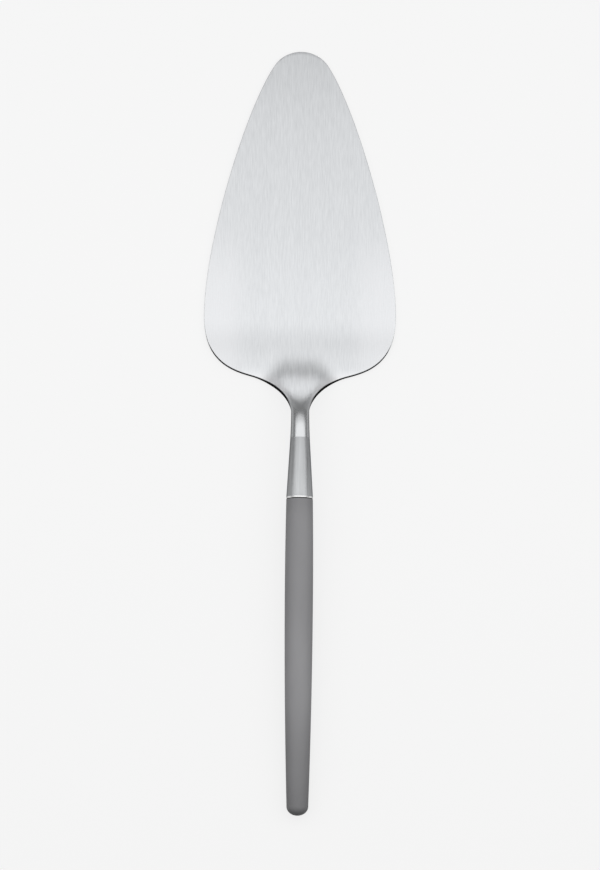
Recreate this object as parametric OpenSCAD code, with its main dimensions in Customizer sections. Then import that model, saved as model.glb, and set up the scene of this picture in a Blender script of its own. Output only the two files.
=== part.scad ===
/* [Blade] */
// Width of the blade at its widest point
blade_w = 66; // [54:1:78]
// Thickness of the stainless sheet
blade_t = 1.5; // [1:0.1:2.2]
// Radius of the rounded nose
nose_r = 11.1; // [8:0.1:14]
// Angle that the nose's arc turns through on each side
nose_sweep = 57; // [50:1:62]
// Distance from the nose back to the widest point
widest_at = 94; // [82:1:110]
// Length of the shoulders, from the widest point to the hips
shoulder_len = 21.3; // [18:0.1:25]
// Width at the hips, where the shoulders turn into the root
hip_w = 33; // [27:0.5:39]
// Angle that the edge makes with a line across the blade at the hips
hip_angle = 15; // [8:1:22]

/* [Cranked root] */
// Length of the root, from the hips to its round waist
root_len = 13.35; // [12:0.05:18]
// Length of the round waist, up to the weld
waist_len = 9.2; // [7.5:0.05:12]
// Diameter of the waist where it is slimmest
waist_d = 6.15; // [5:0.05:6.5]
// Length of blade that stays flat past the widest point
flat_past_widest = 10.5; // [5:0.5:12]
// Width in the middle over which the bend runs straight across
straight_w = 9; // [7:0.5:11]
// Width beside that middle over which the bend starts to fall back
bend_w = 6; // [4:0.5:8]
// How steeply the bend falls back beside the middle
bend_lag = 3.6; // [2:0.1:5]
// Length over which the sheet thickens into the round, up to the weld
thicken_len = 24; // [20:0.5:27]
// Distance before the weld from which the section turns round
turn_len = 12; // [9.5:0.5:14]
// Length of fully round root before the weld
round_len = 7.5; // [5:0.5:8.5]
// Length of straight root before the weld
stub_len = 2; // [1:0.5:4]

/* [Neck] */
// Diameter of the neck at the weld
weld_d = 6.6; // [6.4:0.05:7.4]
// Diameter at the joint between neck and handle
joint_d = 9; // [8.6:0.05:10]
// Length of the neck from the weld to the handle
neck_len = 20.9; // [16:0.1:30]
// Length of the neck's rounded, polished rear rim
rim_len = 0.8; // [0.3:0.1:1.5]
// Depth by which that rim falls away to the joint
rim_depth = 0.35; // [0.1:0.05:0.6]
// Diameter of the spigot that centres the neck in the blade's root
spigot_d = 3; // [2:0.1:4]
// Length of that spigot
spigot_len = 4; // [2:0.1:6]
// Diameter of the boss that centres the handle on the neck
boss_d = 6; // [5.6:0.1:6.6]
// Length of that boss
boss_len = 3; // [1:0.1:5]

/* [Handle] */
// Length of the handle
handle_len = 106.6; // [98:0.1:130]
// Largest diameter of the handle
handle_max_d = 9.55; // [9.1:0.05:12]
// Distance from the joint to the largest diameter
handle_max_at = 30; // [20:1:45]
// Diameter where the rounded end starts
handle_end_d = 7.3; // [7:0.05:9]
// Depth of the rounded end
dome_len = 3; // [2:0.1:3.6]
// Angle by which the handle drops towards its end
handle_drop = 2.4; // [2.2:0.1:4]
// Chamfer round the handle's mouth
mouth_chamfer = 0.2; // [0.1:0.05:0.5]

/* [Tang and adhesive] */
// Diameter of the tang
tang_d = 4; // [3:0.1:4.4]
// Length of the tang that is fixed in the neck
tang_in_neck = 12; // [8:0.5:14]
// Length of the tang that lies in the handle
tang_in_handle = 76; // [50:1:85]
// Chamfer on both ends of the tang
tang_chamfer = 0.5; // [0.2:0.1:1]
// Number of grip grooves round the tang
groove_count = 4; // [2:1:6]
// Width of a grip groove
groove_w = 2; // [1:0.5:4]
// Depth of a grip groove
groove_depth = 0.4; // [0.2:0.1:0.6]
// Thickness of the adhesive round the tang
glue_wall = 0.75; // [0.4:0.05:0.9]
// Depth of the adhesive past the tang's end
glue_end = 3; // [1:0.5:6]

/* [Hidden] */

$fn = 96;
nose_steps = 8;
side_steps = 14;
shoulder_steps = 14;
root_steps = 14;
waist_steps = 7;
column_steps = 40;
taper_steps = 12;
dome_steps = 10;
rim_steps = 6;
overrun = 1;
overlap = 1;

// Reach of the curve handles, as shares of the stretch that each curve spans
side_front_share = 0.2;
side_rear_share = 0.29;
shoulder_front_share = 0.75;
shoulder_rear_share = 0.47;
root_front_share = 0.7;
root_rear_share = 0.22;

// Share of a section's points that lies close together, and how far they reach, as a share of hip_w
fine_points_share = 0.8;
fine_reach_share = 0.41;

// Share of the crank at its start where the rise is too slight to matter and is left flat
onset_share = 0.03;

// Places along the blade, as distances from the nose
hips_at = widest_at + shoulder_len;
root_end = hips_at + root_len;
weld_at = root_end + waist_len;
crank_start = widest_at + flat_past_widest;
crank_end = weld_at - stub_len;
crank_len = crank_end - crank_start;
thickening = [weld_at - thicken_len, weld_at];
rounding = [weld_at - turn_len, weld_at - round_len];

// The straight axis of neck and handle, measured from the weld
axis_len = neck_len + handle_len;
dome_at = axis_len - dome_len;
handle_end_r = handle_end_d / 2;
dome_drop = norm([dome_len * sin(handle_drop), handle_end_r * cos(handle_drop)]);
dome_reach = norm([dome_len * cos(handle_drop), handle_end_r * sin(handle_drop)]);

// Height of the axis at the weld, at which the handle's end rests on the table
weld_z = dome_at * sin(handle_drop) + dome_drop;
overall_len = weld_at + dome_at * cos(handle_drop) + dome_reach;
nose_y = overall_len / 2;
crank_rise = weld_z - blade_t / 2 + stub_len * tan(handle_drop);

tang_r = tang_d / 2;
groove_r = tang_r - groove_depth;
bore_r = tang_r + glue_wall;
bore_len = tang_in_handle + glue_end;

function mix(a, b, share) = a + (b - a) * share;
function clamped(share) = min(max(share, 0), 1);
function ease(share) = pow(clamped(share), 2) * (3 - 2 * clamped(share));
function bezier(p, k) =
    pow(1 - k, 3) * p[0] + 3 * pow(1 - k, 2) * k * p[1] + 3 * (1 - k) * pow(k, 2) * p[2] + pow(k, 3) * p[3];

// Points [half width, distance from the nose] along one edge of the blade
nose_curve = [for (i = [0:nose_steps]) let (a = nose_sweep * i / nose_steps) nose_r * [sin(a), 1 - cos(a)]];
nose_end = nose_curve[nose_steps];
widest = [blade_w / 2, widest_at];
hip = [hip_w / 2, hips_at];
waist = [waist_d / 2, root_end];
side_len = widest_at - nose_end.y;
side_frame = [
    nose_end,
    nose_end + side_front_share * side_len * [cos(nose_sweep), sin(nose_sweep)],
    widest - [0, side_rear_share * side_len],
    widest
];
shoulder_frame = [
    widest,
    widest + [0, shoulder_front_share * shoulder_len],
    hip + shoulder_rear_share * (widest.x - hip.x) * [cos(hip_angle), -sin(hip_angle)],
    hip
];
root_frame = [
    hip,
    hip - root_front_share * (hip.x - waist.x) * [cos(hip_angle), -sin(hip_angle)],
    waist - [0, root_rear_share * root_len],
    waist
];
side_curve = [for (i = [1:side_steps]) bezier(side_frame, i / side_steps)];
shoulder_curve = [for (i = [0:shoulder_steps]) bezier(shoulder_frame, i / shoulder_steps)];
root_curve = [for (i = [1:root_steps]) bezier(root_frame, i / root_steps)];
waist_curve = [for (i = [1:waist_steps]) let (d = root_end + waist_len * i / waist_steps) [round_r(d), d]];

// Radius of the round stretch, which flares from the waist to the weld
function round_r(d) = mix(waist_d, weld_d, pow(clamped((d - root_end) / waist_len), 2)) / 2;

// Rise and slope of the sheet's middle, by the distance from the nose
function crank_share(d) = let (u = clamped((d - crank_start) / crank_len)) u < onset_share ? 0 : u;
function mid_rise(d) = let (u = crank_share(d))
    crank_rise * pow(u, 3) * (6 * pow(u, 2) - 15 * u + 10)
    + crank_len * tan(handle_drop) * pow(u, 3) * (1 - u)
    - max(d - crank_end, 0) * tan(handle_drop);
function mid_slope(d) = let (u = crank_share(d))
    30 * pow(u * (1 - u), 2) * crank_rise / crank_len
    + tan(handle_drop) * pow(u, 2) * (3 - 4 * u);

function between(places, d) = ease((d - places[0]) / (places[1] - places[0]));

// The bend is straight across the middle and comes later and later towards the edges
function bend_place(x, d) = d - bend_lag * (norm([1, max(2 * abs(x) - straight_w, 0) / bend_w]) - 1);
function skin_point(x, h, d) = let (place = bend_place(x, d), a = atan(mid_slope(place)))
    [x, nose_y - d + h * sin(a), blade_t / 2 + mid_rise(place) + h * cos(a)];

// The root is thickest in its middle and keeps the sheet's thickness at its edges
function middle_half(place, d) = mix(blade_t / 2, round_r(d), between(thickening, place));
function half_thickness(x, w, d) = mix(middle_half(bend_place(x, d), d), blade_t / 2, pow(x / w, 4));

// Distance from the middle at which column j crosses a section of half width w
function column_x(w, j) =
    let (share = abs(2 * j / column_steps - 1), fine = min(fine_reach_share * hip_w, fine_points_share * w))
    sign(2 * j - column_steps) * (share < fine_points_share
        ? fine * share / fine_points_share
        : mix(fine, w, (share - fine_points_share) / (1 - fine_points_share)));

// One section of the root: its upper points from left to right, then its lower ones
function section(station) =
    let (w = station.x, d = station.y, m = between(rounding, d))
    [for (side = [1, -1]) for (j = [0:column_steps])
        let (
            a = 180 * (1 - (j + 1 / 2) / (column_steps + 1)),
            x = column_x(w, j),
            h = mix(half_thickness(x, w, d), middle_half(d, d) * sin(a), m)
        )
        skin_point(mix(x, w * cos(a), m), side * h, d)];

function quad(a, b, c, d, turned = false) = turned ? [[b, c, d], [b, d, a]] : [[a, b, c], [a, c, d]];

module at_weld() {
    translate([0, nose_y - weld_at, weld_z]) rotate([90 + handle_drop, 0, 0]) children();
}

module flat_blade() {
    edge = concat(nose_curve, side_curve);
    right = [for (p = edge) [p.x, nose_y - p.y]];
    left = [for (i = [len(edge) - 1:-1:1]) [-edge[i].x, nose_y - edge[i].y]];
    linear_extrude(blade_t) polygon(concat(right, left));
}

module cranked_root() {
    inside_blade = widest - [overlap, overlap];
    stations = concat([inside_blade], shoulder_curve, root_curve, waist_curve);
    ring = 2 * (column_steps + 1);
    low = column_steps + 1;
    last = len(stations) - 1;
    points = [for (s = stations) each section(s)];
    skin = [for (i = [0:last - 1]) let (a = ring * i, b = ring * (i + 1)) each concat(
        [for (j = [0:column_steps - 1]) let (left = j < column_steps / 2) each concat(
            quad(a + j, a + j + 1, b + j + 1, b + j, left),
            quad(a + low + j, b + low + j, b + low + j + 1, a + low + j + 1, left))],
        quad(a, b, b + low, a + low),
        quad(b + column_steps, a + column_steps, a + low + column_steps, b + low + column_steps))];
    caps = [for (j = [0:column_steps - 1]) let (b = ring * last + j) each concat(
        quad(j + 1, j, j + low, j + low + 1),
        quad(b, b + 1, b + low + 1, b + low))];
    polyhedron(points, concat(skin, caps));
}

module blade() {
    color("gainsboro") difference() {
        union() {
            flat_blade();
            cranked_root();
        }
        at_weld() translate([0, 0, -spigot_len]) cylinder(h = spigot_len + overrun, d = spigot_d);
    }
}

module neck() {
    rim = [for (i = [0:rim_steps]) let (a = 90 * i / rim_steps)
        [joint_d / 2 - rim_depth * (1 - cos(a)), neck_len - rim_len * (1 - sin(a))]];
    color("silver") at_weld() difference() {
        rotate_extrude() polygon(concat(
            [[0, -spigot_len], [spigot_d / 2, -spigot_len], [spigot_d / 2, 0], [weld_d / 2, 0]],
            rim,
            [[boss_d / 2, neck_len], [boss_d / 2, neck_len + boss_len], [0, neck_len + boss_len]]
        ));
        translate([0, 0, neck_len - tang_in_neck]) cylinder(h = tang_in_neck + boss_len + overrun, r = tang_r);
    }
}

module tang() {
    pitch = (tang_in_handle - boss_len) / (groove_count + 1);
    last_r = tang_r - tang_chamfer;
    grooves = [for (i = [1:groove_count]) let (z = boss_len + pitch * i) each [
        [tang_r, z - groove_w / 2],
        [groove_r, z - groove_w / 4],
        [groove_r, z + groove_w / 4],
        [tang_r, z + groove_w / 2]
    ]];
    color("darkgray") at_weld() translate([0, 0, neck_len]) rotate_extrude() polygon(concat(
        [[0, -tang_in_neck], [tang_r, -tang_in_neck]],
        grooves,
        [[tang_r, tang_in_handle - tang_chamfer], [last_r, tang_in_handle], [0, tang_in_handle]]
    ));
}

function body_r(z) = z < handle_max_at
    ? mix(handle_max_d, joint_d, pow(1 - z / handle_max_at, 2)) / 2
    : mix(handle_max_d, handle_end_d, pow((z - handle_max_at) / (handle_len - dome_len - handle_max_at), 2)) / 2;

module handle() {
    taper_len = handle_len - dome_len;
    taper = [for (i = [1:taper_steps]) let (z = taper_len * i / taper_steps) [body_r(z), z]];
    dome = [for (i = [1:dome_steps]) let (a = 90 * i / dome_steps)
        [handle_end_r * cos(a), taper_len + dome_len * sin(a)]];
    color("dimgray") at_weld() translate([0, 0, neck_len]) difference() {
        rotate_extrude() polygon(concat(
            [[0, 0], [joint_d / 2 - mouth_chamfer, 0], [body_r(mouth_chamfer), mouth_chamfer]],
            taper,
            dome
        ));
        translate([0, 0, -overrun]) cylinder(h = boss_len + overrun, d = boss_d);
        cylinder(h = bore_len, r = bore_r);
    }
}

module adhesive() {
    color("wheat") difference() {
        at_weld() translate([0, 0, neck_len + boss_len]) cylinder(h = bore_len - boss_len, r = bore_r);
        tang();
    }
}

blade();
neck();
tang();
handle();
adhesive();
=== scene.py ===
from functools import partial
import math

import bmesh
import bpy
from mathutils import Matrix, Vector


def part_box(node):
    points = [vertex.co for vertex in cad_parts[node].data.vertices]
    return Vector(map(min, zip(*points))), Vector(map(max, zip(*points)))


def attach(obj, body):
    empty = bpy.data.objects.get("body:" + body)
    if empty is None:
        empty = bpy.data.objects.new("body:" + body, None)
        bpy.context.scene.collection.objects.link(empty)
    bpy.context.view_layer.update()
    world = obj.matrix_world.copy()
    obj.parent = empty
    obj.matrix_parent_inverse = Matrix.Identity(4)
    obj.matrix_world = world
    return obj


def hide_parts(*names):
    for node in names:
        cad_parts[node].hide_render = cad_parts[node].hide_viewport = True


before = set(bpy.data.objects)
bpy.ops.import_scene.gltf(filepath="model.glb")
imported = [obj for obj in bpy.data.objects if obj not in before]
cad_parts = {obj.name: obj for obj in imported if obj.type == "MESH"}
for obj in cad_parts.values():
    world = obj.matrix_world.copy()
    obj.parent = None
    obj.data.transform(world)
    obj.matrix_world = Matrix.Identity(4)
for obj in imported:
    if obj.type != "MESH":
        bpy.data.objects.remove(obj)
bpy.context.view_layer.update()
mm = 0.001
scene = bpy.context.scene
print("cad nodes:", ", ".join(sorted(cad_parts)))


# Camera, almost straight above the server and a little to its near left side
camera = {
    "distance": 1150 * mm,
    "elevation": 80,  # degrees above the table
    "sideTilt": 1.9,  # degrees towards the left
    "roll": 0.335,  # degrees
    "lens": 139.02,  # mm
    "aim": Vector((0.28, -2.73, 0)) * mm,
    "clipStart": 10 * mm,
}


def addCamera(look):
    data = bpy.data.cameras.new("photoCamera")
    data.lens = look["lens"]
    data.clip_start = look["clipStart"]
    cam = bpy.data.objects.new("photoCamera", data)
    scene.collection.objects.link(cam)
    up = math.radians(look["elevation"])
    direction = Vector((-math.sin(math.radians(look["sideTilt"])), -math.cos(up), math.sin(up)))
    place = direction.normalized() * look["distance"]
    back = (place - look["aim"]).normalized()
    roll = math.radians(look["roll"])
    right = Vector((-math.sin(roll), math.cos(roll), 0)).cross(back).normalized()
    turn = Matrix((right, back.cross(right), back)).transposed()
    cam.matrix_world = Matrix.Translation(place) @ turn.to_4x4()
    scene.camera = cam


addCamera(camera)
print("camera set")


# What every piece uses
mergeDistance = 0.0005 * mm
sharpAngle = math.radians(40)


def clamped(share):
    return min(max(share, 0), 1)


def ease(share):
    share = clamped(share)
    return share * share * (3 - 2 * share)


def between(places, d):
    return ease((d - places[0]) / (places[1] - places[0]))


def mix(a, b, share):
    return a + (b - a) * share


def bezier(points, share):
    rest = 1 - share
    weights = (rest ** 3, 3 * rest ** 2 * share, 3 * rest * share ** 2, share ** 3)
    return sum((w * p for w, p in zip(weights, points)), Vector((0, 0)))


def finishedPiece(name, bm, material, nodeName):
    bmesh.ops.remove_doubles(bm, verts=bm.verts, dist=mergeDistance)
    bmesh.ops.recalc_face_normals(bm, faces=bm.faces)
    for face in bm.faces:
        face.smooth = True
    for edge in bm.edges:
        edge.smooth = edge.calc_face_angle(0) < sharpAngle
    mesh = bpy.data.meshes.new(name)
    bm.to_mesh(mesh)
    bm.free()
    piece = bpy.data.objects.new(name, mesh)
    scene.collection.objects.link(piece)
    mesh.materials.append(material)
    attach(piece, "root")
    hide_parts(nodeName)
    print(name, "has", len(mesh.vertices), "vertices")
    return piece


# The axis of neck and handle, which starts at the weld and drops towards the handle's end
axis = {
    "drop": math.radians(2.4),
    "neckLength": 20.9 * mm,
    "handleLength": 106.6 * mm,
    "domeLength": 3 * mm,
    "endRadius": 3.65 * mm,
}

# The blade, with distances measured from the nose back towards the handle. The facing of an edge is 1 where
# it looks straight towards the handle, and -1 where it looks straight away from it.
blade = {
    "halfWidth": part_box("blade")[1].x,
    "noseY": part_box("blade")[1].y,
    "thickness": 1.5 * mm,
    "edgeRadius": (0.15 * mm, 0.4 * mm),  # on the sides and where the edge faces the handle
    "edgeRounding": (0, 5 / 6),  # facings between which its radius grows
    "wallShare": 0.34,  # share of the edge's points that lies on its flat wall
    "noseRadius": 11.1 * mm,
    "noseSweep": math.radians(57),
    "noseBlend": 45 * mm,  # length over which the rows lose the nose's arc
    "widestAt": 94 * mm,
    "shoulderLength": 21.3 * mm,
    "hipHalfWidth": 16.5 * mm,
    "hipAngle": math.radians(15),
    "rootLength": 13.35 * mm,
    "waistLength": 9.2 * mm,
    "waistRadius": 3.075 * mm,
    "weldRadius": 3.3 * mm,
    "crankStart": 104.5 * mm,
    "stubLength": 2 * mm,  # straight length before the weld
    "rounding": (12 * mm, 7.5 * mm),  # distances before the weld between which the root turns round
    "thickeningLength": 24 * mm,
    "thinningPower": 4,  # the higher, the later the thick root thins towards its edges
    "straightHalfWidth": 4.5 * mm,  # the bend runs straight across this middle strip
    "bendHalfWidth": 3 * mm,
    "bendLag": 3.6 * mm,  # how far the bend curves back beside the strip
    "fineHalfWidth": 13.5 * mm,  # the points of a row lie closer within it
    "fineShare": 0.8,  # share of a row's points within that half width
    "sideReach": (0.2, 0.29),  # shares for which the outline's curves keep the directions of their ends
    "shoulderReach": (0.75, 0.47),
    "rootReach": (0.7, 0.22),
    "polishing": (121 * mm, 130 * mm),
    "paintedLightX": (16 * mm, 26 * mm),  # where painted light comes in on the blade's lower sides, measured from its middle
    "paintedLightY": (55 * mm, 85 * mm),
    "paintedLightShare": 0.33,
    "rootPaintedLightX": (0.45, 0.95),  # where painted light comes in beside the root, as shares of its half width
    "rootPaintedLightFrom": (112 * mm, 117 * mm),
    "rootPaintedLightTo": (121 * mm, 128 * mm),
    "rootPaintedLightShare": 0.6,
    "wallDarkening": (0.1, 0.35),  # facings between which painted shade comes onto the edge's flat wall
    "roundDarkening": (0.3, 0.55),  # the same for its rounds
    "wallToRound": (0.4, 0.6),  # shares of the edge's points between which the round's painted shade takes over
    "noseDarkening": (0, 1 / 3),  # the same as for the wall, but away from the handle
    "noseEdgeShade": 0.17,  # how dark the edge's painted shade is at the nose
    "edgeShadePower": 16,  # keeps the edge's painted shade off the faces beside it
    "rows": (44, 34, 36, 16),  # side, shoulder, root, waist
    "columns": 56,
    "edgeSteps": 10,
}

hipsAt = blade["widestAt"] + blade["shoulderLength"]
rootEnd = hipsAt + blade["rootLength"]
weldAt = rootEnd + blade["waistLength"]
crankEnd = weldAt - blade["stubLength"]
crankLength = crankEnd - blade["crankStart"]
thickening = (weldAt - blade["thickeningLength"], weldAt)
rounding = tuple(weldAt - before for before in blade["rounding"])
dropSlope = math.tan(axis["drop"])
domeAt = axis["neckLength"] + axis["handleLength"] - axis["domeLength"]
domeDrop = math.hypot(axis["domeLength"] * math.sin(axis["drop"]),
                      axis["endRadius"] * math.cos(axis["drop"]))
weldZ = domeAt * math.sin(axis["drop"]) + domeDrop
crankRise = weldZ - blade["thickness"] / 2 + blade["stubLength"] * dropSlope


def crankShare(d):
    return clamped((d - blade["crankStart"]) / crankLength)


# The crank's middle line is an ease of the fifth degree, with a term that gives its end the slope of neck
# and handle. The formula of midSlope is its slope.
def midRise(d):
    u = crankShare(d)
    bend = crankRise * u ** 3 * (6 * u * u - 15 * u + 10) + crankLength * dropSlope * u ** 3 * (1 - u)
    return bend - max(d - crankEnd, 0) * dropSlope


def midSlope(d):
    u = crankShare(d)
    return 30 * (u * (1 - u)) ** 2 * crankRise / crankLength + dropSlope * u * u * (3 - 4 * u)


def roundRadius(d):
    flare = clamped((d - rootEnd) / blade["waistLength"]) ** 2
    return mix(blade["waistRadius"], blade["weldRadius"], flare)


def bendPlace(x, d):
    beside = max(abs(x) - blade["straightHalfWidth"], 0) / blade["bendHalfWidth"]
    return d - blade["bendLag"] * (math.hypot(1, beside) - 1)


# The root is thickest in its middle and keeps the sheet's thickness at its edges, until it turns round
def middleHalf(place, d):
    return mix(blade["thickness"] / 2, roundRadius(d), between(thickening, place))


def halfThickness(x, w, d):
    thinning = (x / w) ** blade["thinningPower"]
    return mix(middleHalf(bendPlace(x, d), d), blade["thickness"] / 2, thinning)


def skinPoint(x, h, d):
    place = bendPlace(x, d)
    tilt = math.atan(midSlope(place))
    height = blade["thickness"] / 2 + midRise(place)
    return Vector((x, blade["noseY"] - d + h * math.sin(tilt), height + h * math.cos(tilt)))


def bladeEdge():
    look = blade
    nose = look["noseRadius"] * Vector((math.sin(look["noseSweep"]), 1 - math.cos(look["noseSweep"])))
    widest = Vector((look["halfWidth"], look["widestAt"]))
    hip = Vector((look["hipHalfWidth"], hipsAt))
    waist = Vector((look["waistRadius"], rootEnd))
    noseWay = Vector((math.cos(look["noseSweep"]), math.sin(look["noseSweep"])))
    hipWay = Vector((math.cos(look["hipAngle"]), -math.sin(look["hipAngle"])))
    sideLength = widest.y - nose.y
    curves = (
        (nose, nose + look["sideReach"][0] * sideLength * noseWay,
         widest - Vector((0, look["sideReach"][1] * sideLength)), widest),
        (widest, widest + Vector((0, look["shoulderReach"][0] * look["shoulderLength"])),
         hip + look["shoulderReach"][1] * (widest.x - hip.x) * hipWay, hip),
        (hip, hip - look["rootReach"][0] * (hip.x - waist.x) * hipWay,
         waist - Vector((0, look["rootReach"][1] * look["rootLength"])), waist),
    )
    points = [nose]
    for curve, rows in zip(curves, look["rows"]):
        points += [bezier(curve, i / rows) for i in range(1, rows + 1)]
    rows = look["rows"][3]
    for i in range(1, rows + 1):
        d = rootEnd + look["waistLength"] * i / rows
        points.append(Vector((roundRadius(d), d)))
    return points


def outwards(points, i):
    if i == 0:
        return Vector((math.sin(blade["noseSweep"]), -math.cos(blade["noseSweep"])))
    if i == len(points) - 1:
        return Vector((1, 0))
    along = (points[i + 1] - points[i - 1]).normalized()
    return Vector((along.y, -along.x))


def columnX(w, across):
    fine = min(blade["fineHalfWidth"], blade["fineShare"] * w)
    share = abs(across)
    if share < blade["fineShare"]:
        x = fine * share / blade["fineShare"]
    else:
        x = mix(fine, w, (share - blade["fineShare"]) / (1 - blade["fineShare"]))
    return math.copysign(x, across)


# The edge's section: how far it lies inside the outline and above the middle of a sheet 2 q thick
def edgeProfile(around, q, facing):
    radius = min(mix(*blade["edgeRadius"], between(blade["edgeRounding"], facing)), q)
    wall = blade["wallShare"]
    if abs(around) <= wall:
        return 0, (q - radius) * around / wall
    turn = math.pi / 2 * (abs(around) - wall) / (1 - wall)
    return radius * (1 - math.cos(turn)), math.copysign(q - radius + radius * math.sin(turn), around)


# A point of the blade's skin: across runs from the left edge to the right, around from underside to top. The
# rows bow as the nose does, and straighten behind it.
def bladePoint(edge, normals, i, across, around, q):
    inset, h = edgeProfile(around, q, normals[i].y)
    point = edge[i] - inset * normals[i]
    sweep = blade["noseSweep"]
    arc = 1 - ease((edge[i].y - edge[0].y) / blade["noseBlend"])
    sag = (blade["noseRadius"] - inset) * (1 - math.cos(sweep))
    bow = (math.cos(sweep * across) - math.cos(sweep)) / (1 - math.cos(sweep))
    x = mix(columnX(point.x, across), point.x * math.sin(sweep * across) / math.sin(sweep), arc)
    return x, point.y - arc * sag * bow, h


# How much a point has of the painted shade on the edge, and of the painted light on the blade's lower sides
# and root
def edgeShadeAmount(around, facing):
    wall = between(blade["wallDarkening"], facing)
    rounds = between(blade["roundDarkening"], facing)
    shade = mix(wall, rounds, between(blade["wallToRound"], abs(around)))
    shade += blade["noseEdgeShade"] * between(blade["noseDarkening"], -facing)
    return shade * (1 - around ** blade["edgeShadePower"])


def paintedLightAmount(x, w, d):
    lowerSides = blade["paintedLightShare"] * between(blade["paintedLightX"], abs(x)) * between(blade["paintedLightY"], d)
    besideRoot = between(blade["rootPaintedLightX"], abs(x) / w) * between(blade["rootPaintedLightFrom"], d)
    return max(lowerSides, blade["rootPaintedLightShare"] * besideRoot * (1 - between(blade["rootPaintedLightTo"], d)))


# The rows turn from the sheet's flat section to the stub's round one
def bladeRingPoint(edge, normals, i, across, around):
    w, d = edge[i]
    sheet = blade["thickness"] / 2
    x, y, h = bladePoint(edge, normals, i, across, around, sheet)
    h *= halfThickness(x, w, d) / sheet
    turned = between(rounding, d)
    if turned > 0:
        side = math.pi * blade["edgeSteps"] / 2 / (blade["columns"] + blade["edgeSteps"])
        if abs(across) < 1:
            angle = math.copysign(math.pi / 2 - abs(across) * (math.pi / 2 - side), around)
        else:
            angle = around * side
        rx = math.copysign(w * math.cos(angle), across)
        x, y, h = mix(x, rx, turned), mix(y, d, turned), mix(h, middleHalf(d, d) * math.sin(angle), turned)
    edgeShade = edgeShadeAmount(around, normals[i].y) * (1 - turned)
    return skinPoint(x, h, y), (edgeShade, between(blade["polishing"], d), paintedLightAmount(x, w, d))


def placeBladeVert(edge, normals, across, around, shades, i, vert):
    vert.co, values = bladeRingPoint(edge, normals, i, vert[across], vert[around])
    for layer, value in zip(shades, values):
        vert[layer] = value


def bladePiece(material):
    edge = bladeEdge()
    normals = [outwards(edge, i) for i in range(len(edge))]
    bm = bmesh.new()
    across = bm.verts.layers.float.new("across")
    around = bm.verts.layers.float.new("around")
    shades = [bm.verts.layers.float.new(mark) for mark in ("paintedEdgeShade", "polish", "paintedLight")]
    bmesh.ops.create_grid(bm, x_segments=blade["columns"], y_segments=blade["edgeSteps"], size=1)
    for vert in bm.verts:
        vert[across], vert[around] = vert.co.x, vert.co.y
    place = partial(placeBladeVert, edge, normals, across, around, shades)
    for vert in bm.verts:
        place(0, vert)
    ring = [e for e in bm.edges if e.is_boundary]
    for i in range(1, len(edge)):
        grown = bmesh.ops.extrude_edge_only(bm, edges=ring)["geom"]
        for vert in (g for g in grown if isinstance(g, bmesh.types.BMVert)):
            place(i, vert)
        ring = [g for g in grown if isinstance(g, bmesh.types.BMEdge) and g.is_boundary]
    bmesh.ops.holes_fill(bm, edges=ring, sides=0)
    piece = finishedPiece("servingBlade", bm, material, "blade")
    weighted = piece.modifiers.new("flatFaces", "WEIGHTED_NORMAL")
    weighted.keep_sharp = True
    return piece


# Spins a profile of radius and place along the axis. Each mark is an attribute that is 1 within its range.
def turnedPiece(name, profile, start, steps, material, nodeName, marks):
    bm = bmesh.new()
    verts = [bm.verts.new((r, 0, z)) for r, z in profile]
    edges = [bm.edges.new(pair) for pair in zip(verts, verts[1:])]
    bmesh.ops.spin(bm, geom=verts + edges, axis=(0, 0, 1), cent=(0, 0, 0),
                   angle=2 * math.pi, steps=steps, use_merge=True)
    for mark, (low, high) in marks.items():
        layer = bm.verts.layers.float.new(mark)
        for vert in bm.verts:
            vert[layer] = 1 if low < vert.co.z < high else 0
    weld = Vector((0, blade["noseY"] - weldAt, weldZ))
    place = Matrix.Translation(weld) @ Matrix.Rotation(math.pi / 2 + axis["drop"], 4, "X")
    bmesh.ops.transform(bm, matrix=place @ Matrix.Translation((0, 0, start)), verts=bm.verts)
    return finishedPiece(name, bm, material, nodeName)


quarterTurn = (0, 90)  # degrees


def arcPoints(centre, radii, degrees, steps):
    turns = [math.radians(mix(degrees[0], degrees[1], i / steps)) for i in range(steps + 1)]
    return [(centre[0] + radii[0] * math.cos(t), centre[1] + radii[1] * math.sin(t)) for t in turns]


# The neck, turned from bar, with its polished rear rim
neck = {
    "jointRadius": 4.5 * mm,
    "rimLength": 0.8 * mm,
    "rimDepth": 0.35 * mm,
    "satinOnRim": 0.12 * mm,  # how far the satin runs onto the rim
    "grooveShadeFrom": 0.64 * mm,  # where on the rim the painted shade of the joint's groove starts
    "spigotRadius": 1.5 * mm,
    "spigotLength": 4 * mm,
    "bossRadius": 3 * mm,
    "bossLength": 3 * mm,
    "boreRadius": 2 * mm,
    "boreLength": 12 * mm,
    "coneSteps": 12,
    "rimSteps": 12,
    "steps": 128,
}


def neckPiece(material):
    length = axis["neckLength"]
    rimAt = length - neck["rimLength"]
    profile = [
        (0, -neck["spigotLength"]), (neck["spigotRadius"], -neck["spigotLength"]), (neck["spigotRadius"], 0),
    ]
    shares = [i / neck["coneSteps"] for i in range(neck["coneSteps"])]
    profile += [(mix(blade["weldRadius"], neck["jointRadius"], share), rimAt * share) for share in shares]
    profile += arcPoints((neck["jointRadius"] - neck["rimDepth"], rimAt),
                         (neck["rimDepth"], neck["rimLength"]), quarterTurn, neck["rimSteps"])
    profile += [
        (neck["bossRadius"], length), (neck["bossRadius"], length + neck["bossLength"]),
        (neck["boreRadius"], length + neck["bossLength"]), (neck["boreRadius"], length - neck["boreLength"]),
        (0, length - neck["boreLength"]),
    ]
    rear = length + neck["bossLength"] + mm  # just past the boss
    # The rim is polished, and its rear part takes the painted shade of the joint's groove
    marks = {"polish": (rimAt + neck["satinOnRim"], rear), "paintedEdgeShade": (rimAt + neck["grooveShadeFrom"], rear)}
    return turnedPiece("turnedNeck", profile, 0, neck["steps"], material, "neck", marks)


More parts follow.
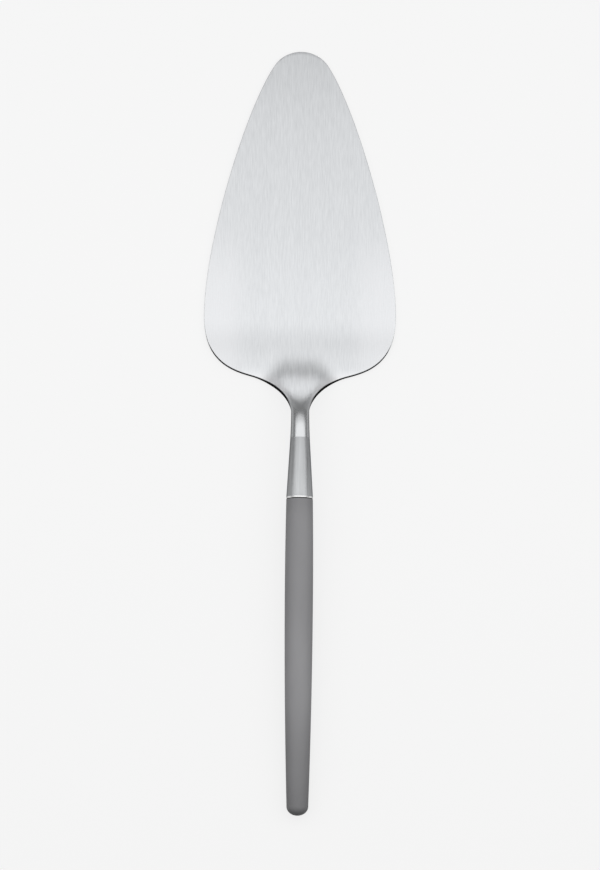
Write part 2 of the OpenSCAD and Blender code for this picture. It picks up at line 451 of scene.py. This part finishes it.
# The handle swells to its widest place and tapers from there, with a blind bore from its front end
handle = {
    "maxRadius": 4.775 * mm,
    "maxAt": 30 * mm,
    "mouthChamfer": 0.2 * mm,
    "mouthArc": (-60, 0),  # degrees
    "mouthSteps": 4,
    "boreRadius": 2.75 * mm,
    "boreLength": 79 * mm,
    "taperSteps": 48,
    "domeSteps": 14,
    "steps": 128,
}


def bodyRadius(z):
    if z < handle["maxAt"]:
        return mix(handle["maxRadius"], neck["jointRadius"], (1 - z / handle["maxAt"]) ** 2)
    taper = axis["handleLength"] - axis["domeLength"] - handle["maxAt"]
    return mix(handle["maxRadius"], axis["endRadius"], ((z - handle["maxAt"]) / taper) ** 2)


def handlePiece(material):
    taper = axis["handleLength"] - axis["domeLength"]
    chamfer = handle["mouthChamfer"]
    profile = [
        (0, handle["boreLength"]), (handle["boreRadius"], handle["boreLength"]),
        (handle["boreRadius"], neck["bossLength"]), (neck["bossRadius"], neck["bossLength"]),
        (neck["bossRadius"], 0), (neck["jointRadius"] - chamfer, 0),
    ]
    profile += arcPoints((bodyRadius(chamfer) - chamfer, chamfer), (chamfer, chamfer),
                         handle["mouthArc"], handle["mouthSteps"])
    steps = handle["taperSteps"]
    profile += [(bodyRadius(taper * i / steps), taper * i / steps) for i in range(1, steps)]
    profile += arcPoints((0, taper), (axis["endRadius"], axis["domeLength"]),
                         quarterTurn, handle["domeSteps"])
    # The mouth's chamfer takes the painted shade of the joint's groove
    return turnedPiece("mouldedHandle", profile, axis["neckLength"], handle["steps"], material,
                       "handle", {"paintedGrooveShade": (-chamfer, chamfer / 2)})


# Materials
noiseLook = {
    "detail": 3,
    "spread": (0.3, 0.7),  # the values between which the noise mostly stays
}
bumpDistance = 0.02 * mm

# A Mix node's sockets for numbers and for colours: its two inputs and its output
mixSockets = {"FLOAT": (2, 3, 0), "RGBA": (6, 7, 2)}


def newMaterial(name):
    material = bpy.data.materials.new(name)
    material.use_nodes = True
    nodes = material.node_tree.nodes
    return material, nodes, material.node_tree.links, nodes["Principled BSDF"]


def feed(links, socket, value):
    if isinstance(value, bpy.types.NodeSocket):
        links.new(value, socket)
    else:
        socket.default_value = value


def mixed(nodes, links, kind, a, b, share, blend="MIX"):
    node = nodes.new("ShaderNodeMix")
    node.data_type, node.blend_type = kind, blend
    first, second, result = mixSockets[kind]
    feed(links, node.inputs["Factor"], share)
    feed(links, node.inputs[first], a)
    feed(links, node.inputs[second], b)
    return node.outputs[result]


def streaks(nodes, links, coordinates, scale, turn=0):
    mapping = nodes.new("ShaderNodeMapping")
    mapping.inputs["Rotation"].default_value = (turn, 0, 0)
    mapping.inputs["Scale"].default_value = scale
    noise = nodes.new("ShaderNodeTexNoise")
    noise.inputs["Scale"].default_value = 1
    noise.inputs["Detail"].default_value = noiseLook["detail"]
    links.new(coordinates, mapping.inputs["Vector"])
    links.new(mapping.outputs["Vector"], noise.inputs["Vector"])
    return noise.outputs["Fac"]


def ranged(nodes, links, value, low, high, spread=noiseLook["spread"]):
    node = nodes.new("ShaderNodeMapRange")
    node.inputs["From Min"].default_value, node.inputs["From Max"].default_value = spread
    node.inputs["To Min"].default_value, node.inputs["To Max"].default_value = low, high
    links.new(value, node.inputs["Value"])
    return node.outputs["Result"]


def attribute(nodes, name):
    node = nodes.new("ShaderNodeAttribute")
    node.attribute_name = name
    return node.outputs["Fac"]


def tinted(nodes, links, value, look):
    share = ranged(nodes, links, value, 0, 1)
    return mixed(nodes, links, "RGBA", (*look["dark"], 1), (*look["light"], 1), share)


def marked(nodes, links, color, marks):
    for mark, shade in marks.items():
        color = mixed(nodes, links, "RGBA", color, (*shade, 1), attribute(nodes, mark))
    return color


def addBump(nodes, links, shader, height, strength):
    bump = nodes.new("ShaderNodeBump")
    bump.inputs["Strength"].default_value = strength
    bump.inputs["Distance"].default_value = bumpDistance
    links.new(height, bump.inputs["Height"])
    links.new(bump.outputs["Normal"], shader.inputs["Normal"])


# Painted light and shade along a node of the CAD model, from its end towards the nose to its rear end; the
# tang and cement only turn a little darker towards the rear
def paintedShadeAndToneAlong(nodes, links, place, color, nodeName, shades):
    split = nodes.new("ShaderNodeSeparateXYZ")
    links.new(place, split.inputs["Vector"])
    ramp = nodes.new("ShaderNodeValToRGB")
    ramp.color_ramp.interpolation = "EASE"
    while len(ramp.color_ramp.elements) < len(shades):
        ramp.color_ramp.elements.new(1)
    for element, (position, shade) in zip(ramp.color_ramp.elements, shades):
        element.position, element.color = position, (shade, shade, shade, 1)
    rear, front = (corner.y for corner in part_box(nodeName))
    links.new(ranged(nodes, links, split.outputs["Y"], 0, 1, (front, rear)), ramp.inputs["Fac"])
    return mixed(nodes, links, "RGBA", color, ramp.outputs["Color"], 1, "MULTIPLY")


# The scales of grain and clouds are per metre, so a low one draws them out along its axis. The marks are the
# colours that the piece's own attributes bring: painted shade on edges and grooves, painted light, and
# polish.
steelLook = {
    "dark": (0.493, 0.503, 0.515),
    "light": (0.623, 0.634, 0.647),
    # painted light and shade along the blade, from the nose back to its root
    "along": (
        (0, 0.93), (0.2, 0.975), (0.45, 0.97), (0.69, 1.01), (0.755, 0.905),
        (0.8, 0.955), (0.84, 1.05), (0.87, 1.02), (0.9, 0.9),
    ),
    "marks": {
        # painted light on the blade's lower sides and beside its root
        "paintedLight": (0.672, 0.672, 0.684),
        "polish": (0.395, 0.402, 0.408),
        # painted shade on the edge, strongest where it faces the handle and fainter at the nose
        "paintedEdgeShade": (0.014, 0.014, 0.014),
    },
    "roughness": (0.5, 0.58),
    "polished": 0.26,  # roughness of the round stub
    "fine": (2400, 220, 150),
    "broad": (260, 5, 20),
    "broadShare": 0.1,
    "bump": 0.02,
    "anisotropic": 0.5,
    "anisotropicTurn": 0.25,  # share of a full turn
    "grazing": (0.1, 0.1, 0.1),
}


neckLook = {
    **steelLook,
    "dark": (0.325, 0.332, 0.337),
    "light": (0.413, 0.422, 0.43),
    # painted shade, darkest at the weld and lighter towards the rim
    "along": ((0.14, 0.8), (0.5, 0.9), (0.89, 1)),
    # painted shade of the joint's groove, at the rim's rear
    # the rim's colour stands far above the neck's: real polish, and partly a painted highlight
    "marks": {"polish": (0.84, 0.84, 0.84), "paintedEdgeShade": (0.014, 0.014, 0.014)},
    "fine": (1500, 60, 1500),
    "broad": (260, 5, 260),
    "roughness": (0.36, 0.42),
    "polished": 0.28,  # roughness of the rim
}


tangLook = {
    **neckLook,
    "dark": (0.4, 0.4, 0.41),
    "light": (0.56, 0.56, 0.57),
    "along": ((0, 1), (1, 0.94)),
    "marks": {},
    "fine": (2600, 30, 2600),  # drawn lengthwise
    "roughness": (0.3, 0.42),
    "bump": 0.1,
}


def brushedSteel(name, nodeName, look, turn=0):
    material, nodes, links, shader = newMaterial(name)
    shader.inputs["Metallic"].default_value = 1
    shader.inputs["Anisotropic"].default_value = look["anisotropic"]
    shader.inputs["Anisotropic Rotation"].default_value = look["anisotropicTurn"]
    shader.inputs["Specular Tint"].default_value = (*look["grazing"], 1)
    along = nodes.new("ShaderNodeCombineXYZ")
    along.inputs["Y"].default_value = 1
    links.new(along.outputs["Vector"], shader.inputs["Tangent"])
    place = nodes.new("ShaderNodeTexCoord").outputs["Object"]
    fine = streaks(nodes, links, place, look["fine"], turn)
    broad = streaks(nodes, links, place, look["broad"], turn)
    grain = mixed(nodes, links, "FLOAT", fine, broad, look["broadShare"])
    color = tinted(nodes, links, grain, look)
    color = paintedShadeAndToneAlong(nodes, links, place, color, nodeName, look["along"])
    color = marked(nodes, links, color, look["marks"])
    links.new(color, shader.inputs["Base Color"])
    roughness = ranged(nodes, links, fine, *look["roughness"])
    if "polish" in look["marks"]:
        roughness = mixed(nodes, links, "FLOAT", roughness, look["polished"], attribute(nodes, "polish"))
    links.new(roughness, shader.inputs["Roughness"])
    addBump(nodes, links, shader, fine, look["bump"])
    return material


plasticLook = {
    "dark": (0.246, 0.245, 0.252),
    "light": (0.275, 0.274, 0.281),
    # painted light and shade along the handle: darker at its mouth, palest a little past the middle, darkest
    # on the rounded end
    "along": ((0, 0.82), (0.07, 0.915), (0.25, 0.92), (0.58, 0.99), (0.85, 0.75), (0.975, 0.675), (1, 0.45)),
    # painted shade of the joint's groove, on the mouth's chamfer
    "marks": {"paintedGrooveShade": (0.02, 0.02, 0.02)},
    "specular": 0.05,
    "roughness": (0.42, 0.5),
    "grain": (2600, 2600, 2600),
    "cloud": (90, 30, 90),
    "bump": 0.08,
}


cementLook = {
    "dark": (0.64, 0.58, 0.43),
    "light": (0.82, 0.76, 0.6),
    "along": ((0, 1), (1, 0.92)),
    "marks": {},
    "specular": 0.3,
    "roughness": (0.6, 0.8),
    "grain": (1400, 1400, 1400),
    "cloud": (90, 30, 90),
    "bump": 0.4,
}


def mouldedStuff(name, nodeName, look):
    material, nodes, links, shader = newMaterial(name)
    place = nodes.new("ShaderNodeTexCoord").outputs["Object"]
    grain = streaks(nodes, links, place, look["grain"])
    cloud = streaks(nodes, links, place, look["cloud"])
    shader.inputs["Specular IOR Level"].default_value = look["specular"]
    color = tinted(nodes, links, cloud, look)
    color = paintedShadeAndToneAlong(nodes, links, place, color, nodeName, look["along"])
    color = marked(nodes, links, color, look["marks"])
    links.new(color, shader.inputs["Base Color"])
    links.new(ranged(nodes, links, grain, *look["roughness"]), shader.inputs["Roughness"])
    addBump(nodes, links, shader, grain, look["bump"])
    return material


# The pieces inside keep the CAD model's meshes
def paintNode(nodeName, material):
    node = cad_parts[nodeName]
    node.data.materials.clear()
    node.data.materials.append(material)


bladePiece(brushedSteel("bladeSteel", "blade", steelLook))
neckPiece(brushedSteel("neckSteel", "neck", neckLook, axis["drop"]))
handlePiece(mouldedStuff("handlePlastic", "handle", plasticLook))
paintNode("tang", brushedSteel("drawnSteel", "tang", tangLook, axis["drop"]))
paintNode("adhesive", mouldedStuff("curedCement", "adhesive", cementLook))
print("inner pieces painted")


# Floor and light, with lengths in metres. The hot strip is the brightest part of the ceiling. A rect gives a
# light's left, right, near and far sides.
studio = {
    "floorSize": 12,
    "floorColor": (0.12, 0.12, 0.12),
    "floorRoughness": 0.9,
    "floorGlow": 0.787,  # what the camera and mirrors see besides, so that the floor is nearly white
    "worldColor": (0.36, 0.36, 0.36),
    "ceiling": {"rect": (-0.7, 0.75, -0.3, 0.335), "height": 0.4, "radiance": 1.05},
    "hot": {"rect": (-0.7, 0.75, 0.03, 0.195), "height": 0.395, "radiance": 0.7},
    "backPlace": (0, 1.1, 0.11),
    "backAim": (0, 0, 0.11),
    "backSize": (1.6, 0.22),
    "backRadiance": 4.8,
}


def addFloor(look):
    bm = bmesh.new()
    bmesh.ops.create_grid(bm, x_segments=1, y_segments=1, size=look["floorSize"] / 2)
    mesh = bpy.data.meshes.new("floor")
    bm.to_mesh(mesh)
    bm.free()
    floor = bpy.data.objects.new("floor", mesh)
    scene.collection.objects.link(floor)
    material, nodes, links, shader = newMaterial("floorPaper")
    shader.inputs["Base Color"].default_value = (*look["floorColor"], 1)
    shader.inputs["Roughness"].default_value = look["floorRoughness"]
    shader.inputs["Specular IOR Level"].default_value = 0
    shader.inputs["Emission Color"].default_value = (1, 1, 1, 1)
    rays = nodes.new("ShaderNodeLightPath").outputs
    seen = rays["Is Camera Ray"]
    for kind in ("Is Glossy Ray", "Is Transmission Ray"):
        either = nodes.new("ShaderNodeMath")
        either.operation = "MAXIMUM"
        links.new(seen, either.inputs[0])
        links.new(rays[kind], either.inputs[1])
        seen = either.outputs[0]
    glow = nodes.new("ShaderNodeMath")
    glow.operation = "MULTIPLY"
    glow.inputs[1].default_value = look["floorGlow"]
    links.new(seen, glow.inputs[0])
    links.new(glow.outputs[0], shader.inputs["Emission Strength"])
    mesh.materials.append(material)


def addSoftbox(name, place, size, radiance, aim=None):
    data = bpy.data.lights.new(name, "AREA")
    data.shape = "RECTANGLE"
    data.size, data.size_y = size
    data.energy = radiance * math.pi * data.size * data.size_y  # watts
    lamp = bpy.data.objects.new(name, data)
    lamp.location = place
    if aim is not None:
        lamp.rotation_mode = "QUATERNION"
        lamp.rotation_quaternion = (Vector(aim) - lamp.location).to_track_quat("-Z", "Y")
    lamp.visible_camera = False
    scene.collection.objects.link(lamp)


def addCeiling(name, look):
    left, right, near, far = look["rect"]
    place = ((left + right) / 2, (near + far) / 2, look["height"])
    addSoftbox(name, place, (right - left, far - near), look["radiance"])


addFloor(studio)
addCeiling("ceilingSoftbox", studio["ceiling"])
addCeiling("hotSoftbox", studio["hot"])
addSoftbox("backSoftbox", studio["backPlace"], studio["backSize"], studio["backRadiance"], studio["backAim"])
scene.world = bpy.data.worlds.new("studio")
scene.world.use_nodes = True
scene.world.node_tree.nodes["Background"].inputs["Color"].default_value = (*studio["worldColor"], 1)
scene.view_settings.view_transform = "Standard"
print("studio lit")
